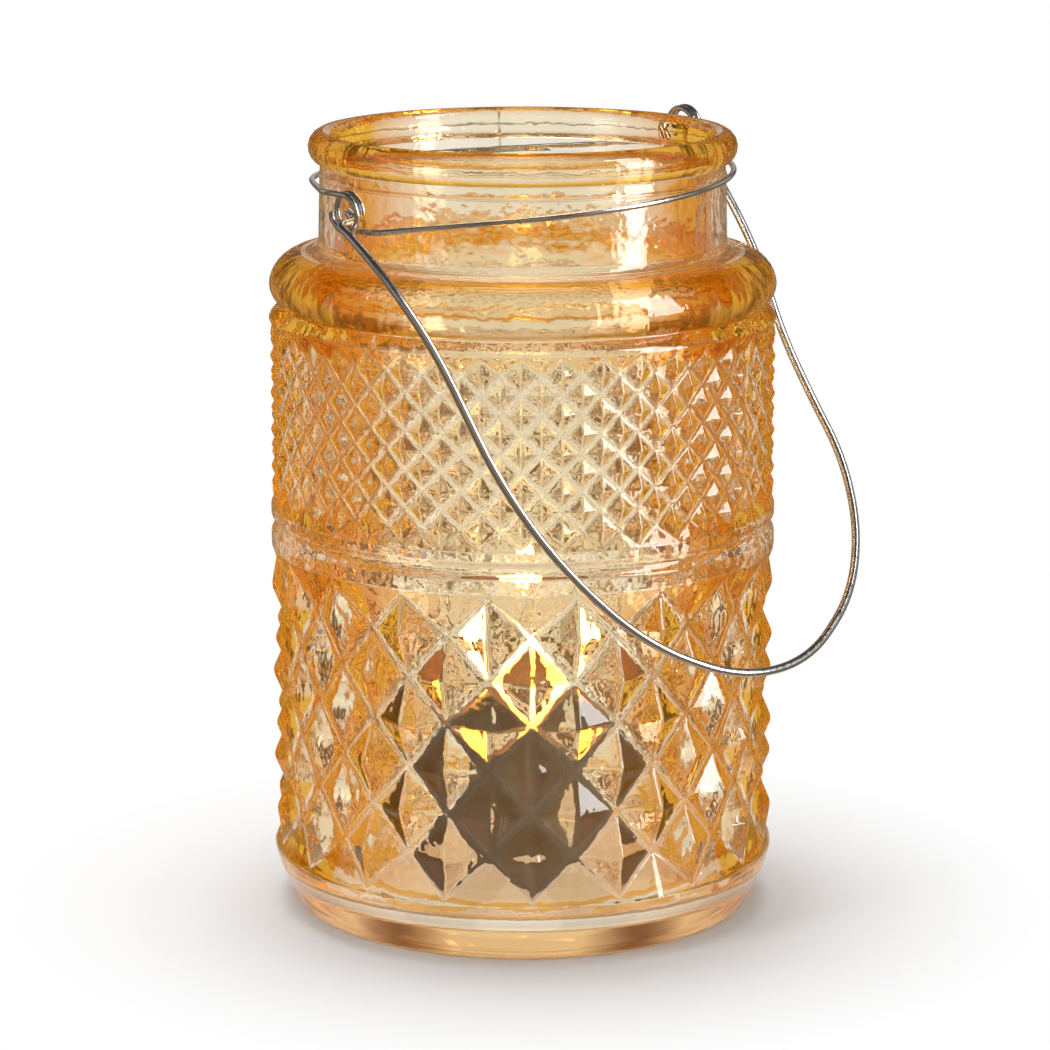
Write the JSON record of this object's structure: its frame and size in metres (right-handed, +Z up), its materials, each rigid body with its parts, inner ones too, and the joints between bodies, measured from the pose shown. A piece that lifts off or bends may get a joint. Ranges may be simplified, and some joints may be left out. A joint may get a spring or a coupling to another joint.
{
  "type": "mason jar lantern",
  "caption": "Amber pressed-glass jar lantern with diamond bands, a wire neck collar, a swinging wire bail and a battery candle that lifts out",
  "frame": {"origin": "Middle of the jar's foot ring, on the surface the jar stands on", "axes": "Z is up along the jar. X runs through the two wire eyes, from the low eye to the high one. The bail hangs towards -Y."},
  "size_m": [0.1224, 0.1385, 0.1917],
  "materials": {
    "amber_glass": "clear pressed glass, amber tint",
    "bright_wire": "bright drawn wire",
    "candle_plastic": "matt moulded",
    "base_plastic": "matt moulded",
    "screw_steel": "zinc plated",
    "cell_steel": "satin nickel",
    "contact_nickel": "nickel plated spring strip",
    "board_laminate": "solder mask",
    "chip_resin": "cured resin bead",
    "resistor_paint": "painted",
    "light_resin": "clear warm resin",
    "lead_tin": "tinned",
    "flame_diffuser": "frosted, lit from inside",
    "switch_steel": "pressed can",
    "knob_plastic": "matt moulded"
  },
  "bodies": {
    "jar": {"jar": "amber_glass"},
    "neck_wire": {"neck_wire_front": "bright_wire", "neck_wire_back": "bright_wire"},
    "bail": {"bail": "bright_wire"},
    "candle": {"candle_body": "candle_plastic", "base_plate": "base_plastic", "base_screws": "screw_steel", "coin_cell": "cell_steel", "negative_contact": "contact_nickel", "positive_contact": "contact_nickel", "circuit_board": "board_laminate", "flicker_chip": "chip_resin", "resistor": "resistor_paint", "led": "light_resin", "led_leads": "lead_tin", "flame_tip": "flame_diffuser", "slide_switch": "switch_steel", "switch_terminals": "lead_tin"},
    "battery_cap": {"battery_cap": "base_plastic"},
    "switch_knob": {"switch_knob": "knob_plastic"}
  },
  "joints": [
    {"name": "neck_wire_turn", "type": "hinge", "parent": "jar", "child": "neck_wire", "pos_m": [0, 0, 0.1785], "axis": [0, 0, 1], "continuous": true},
    {"name": "bail_swing", "type": "hinge", "parent": "neck_wire", "child": "bail", "pos_m": [0, 0, 0.1785], "axis": [-0.9949, 0, -0.1007], "range_deg": [0, 245]},
    {"name": "candle_lift", "type": "slide", "parent": "jar", "child": "candle", "axis": [0, 0, 1], "range_m": [0, 0.19]},
    {"name": "battery_cap_turn", "type": "hinge", "parent": "candle", "child": "battery_cap", "pos_m": [0, 0, 0.01], "axis": [0, 0, 1], "range_deg": [0, 45]},
    {"name": "switch_slide", "type": "slide", "parent": "candle", "child": "switch_knob", "axis": [0, 1, 0], "range_m": [0, 0.0025]}
  ]
}
